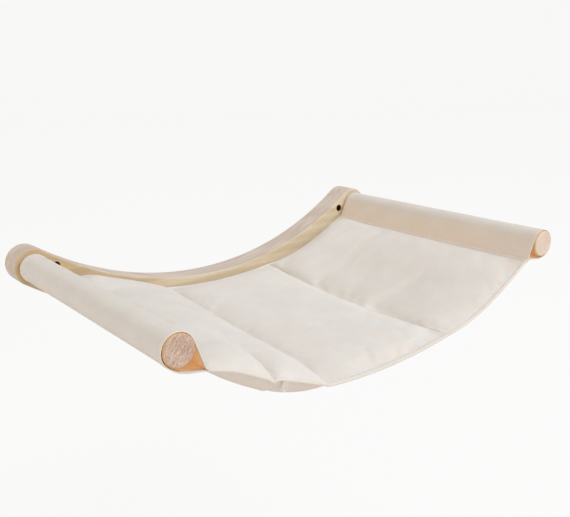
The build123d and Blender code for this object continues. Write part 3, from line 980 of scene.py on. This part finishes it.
def set_camera():
    """Camera where the photograph was taken from: place, then turn by yaw, pitch and roll."""
    level, right, up = level_axes()
    ahead = level * math.cos(CAMERA_PITCH) - up * math.sin(CAMERA_PITCH)
    over = up * math.cos(CAMERA_PITCH) + level * math.sin(CAMERA_PITCH)
    side = right * math.cos(CAMERA_ROLL) + over * math.sin(CAMERA_ROLL)
    over = over * math.cos(CAMERA_ROLL) - right * math.sin(CAMERA_ROLL)
    data = bpy.data.cameras.new("camera")
    data.sensor_width = 36
    data.sensor_fit = "HORIZONTAL"
    data.lens = 49.92
    scene.camera = stand("camera", data, CAMERA_PLACE, (side, over, -ahead))


def lamp(name, place, size, power, tint):
    """Square soft lamp at a place, facing the middle of the object."""
    data = bpy.data.lights.new(name, "AREA")
    data.shape = "SQUARE"
    data.size = size
    data.energy = power
    data.color = tint
    away = unit(np.array(place) - (0.0, -0.2, -0.03))
    side = unit(np.cross((0, 0, 1), away))
    stand(name, data, place, (side, np.cross(away, side), away))


def mix_shaders(tree, label, share, first, second, output):
    """Mix of two shaders by a share, into the output node."""
    mix = add(tree, "MixShader", label)
    for socket, value in zip(mix.inputs, (share, first.outputs[0], second.outputs[0])):
        tree.links.new(value, socket)
    feed(tree, tree.nodes[output], Surface=mix.outputs[0])


def backdrop_material():
    """Near-white paper: its own soft shading, lifted to white where the camera or gloss sees it."""
    material, tree, shader = new_material("backdrop_paper")
    feed(tree, shader, Base_Color=(0.75, 0.7, 0.66, 1), Roughness=0.9, Specular_IOR_Level=0.0)
    white = feed(tree, add(tree, "Emission", "white_paper"), Color=(1, 1, 1, 1))
    path = add(tree, "LightPath", "ray_kind").outputs
    seen = maths(tree, "MAXIMUM", path["Is Camera Ray"],
                 maths(tree, "MAXIMUM", path["Is Glossy Ray"], path["Is Transmission Ray"]))
    mix_shaders(tree, "paper_mix", times(tree, seen, 0.9), shader, white, "Material Output")
    return material


def make_backdrop(material):
    """Pale floor that curves up into a high screen: level, a quarter circle, then upright."""
    level, reach, radius, top, half_width = -0.42, 6.0, 2.0, 6.0, 12
    turn = np.linspace(0, math.pi / 2, 24)
    along = np.concatenate([[-reach, 0], reach + radius * np.sin(turn), [reach + radius]])
    height = np.concatenate([[0, 0], radius * (1 - np.cos(turn)), [top]]) + level
    across = np.linspace(-half_width, half_width, 3)
    ahead, right, up = level_axes()
    points = across[:, None, None] * right + along[:, None] * ahead + height[:, None] * up
    floor = new_piece("floor", points, grid_faces(3, len(along)), material)


def set_world():
    """Even soft light from all round, white where the camera sees it."""
    world = bpy.data.worlds.new("studio")
    scene.world = world
    world.use_nodes = True
    tree = world.node_tree
    light = feed(tree, tree.nodes["Background"], Color=(1.0, 0.93, 0.85, 1), Strength=0.57)
    white = feed(tree, add(tree, "Background", "white_surround"), Color=(0.956, 0.956, 0.956, 1))
    path = add(tree, "LightPath", "ray_kind").outputs
    mix_shaders(tree, "world_mix", path["Is Camera Ray"], light, white, "World Output")


def set_stage():
    """Camera, backdrop, lamps and plain colour handling."""
    set_camera()
    make_backdrop(backdrop_material())
    set_world()
    lamp("key_lamp", (1.5, -1.25, 1.9), 1.3, 38, (0.74, 0.85, 1.0))
    lamp("front_fill", (-0.1, -2.25, 0.15), 2.0, 10.8, (1.0, 0.93, 0.86))
    lamp("left_fill", (-2.3, -0.1, 0.5), 1.6, 12, (0.9, 0.94, 1.0))
    scene.view_settings.view_transform = "Standard"


# Making

bed_canvas, left_canvas, right_canvas, tape, thread = make_materials()
bed, rows_and_columns, channel_rows = make_bed(bed_canvas)
# tint: share of painted shade on the outer cloth; lip: where the painted cavity light is full.
left_sleeve = make_sleeve(-1, left_canvas, hugs=(0.62, 0.92), lays=(0.0008, 0.0), tint=0.05, lip=0.0105)
right_sleeve = make_sleeve(1, right_canvas, hugs=(0.8, 0.86), lays=(0.001, 0.0), tint=0.2, lip=0.005)
channel_lines, edge_lines = bed_rows(bed, *rows_and_columns, channel_rows)
sew("channel_stitches", channel_lines, thread)
sew("edge_stitches", edge_lines, thread)
sew("sleeve_stitches", sleeve_rows(-1, *left_sleeve) + sleeve_rows(1, *right_sleeve), thread)
make_tab(tape)

set_stage()
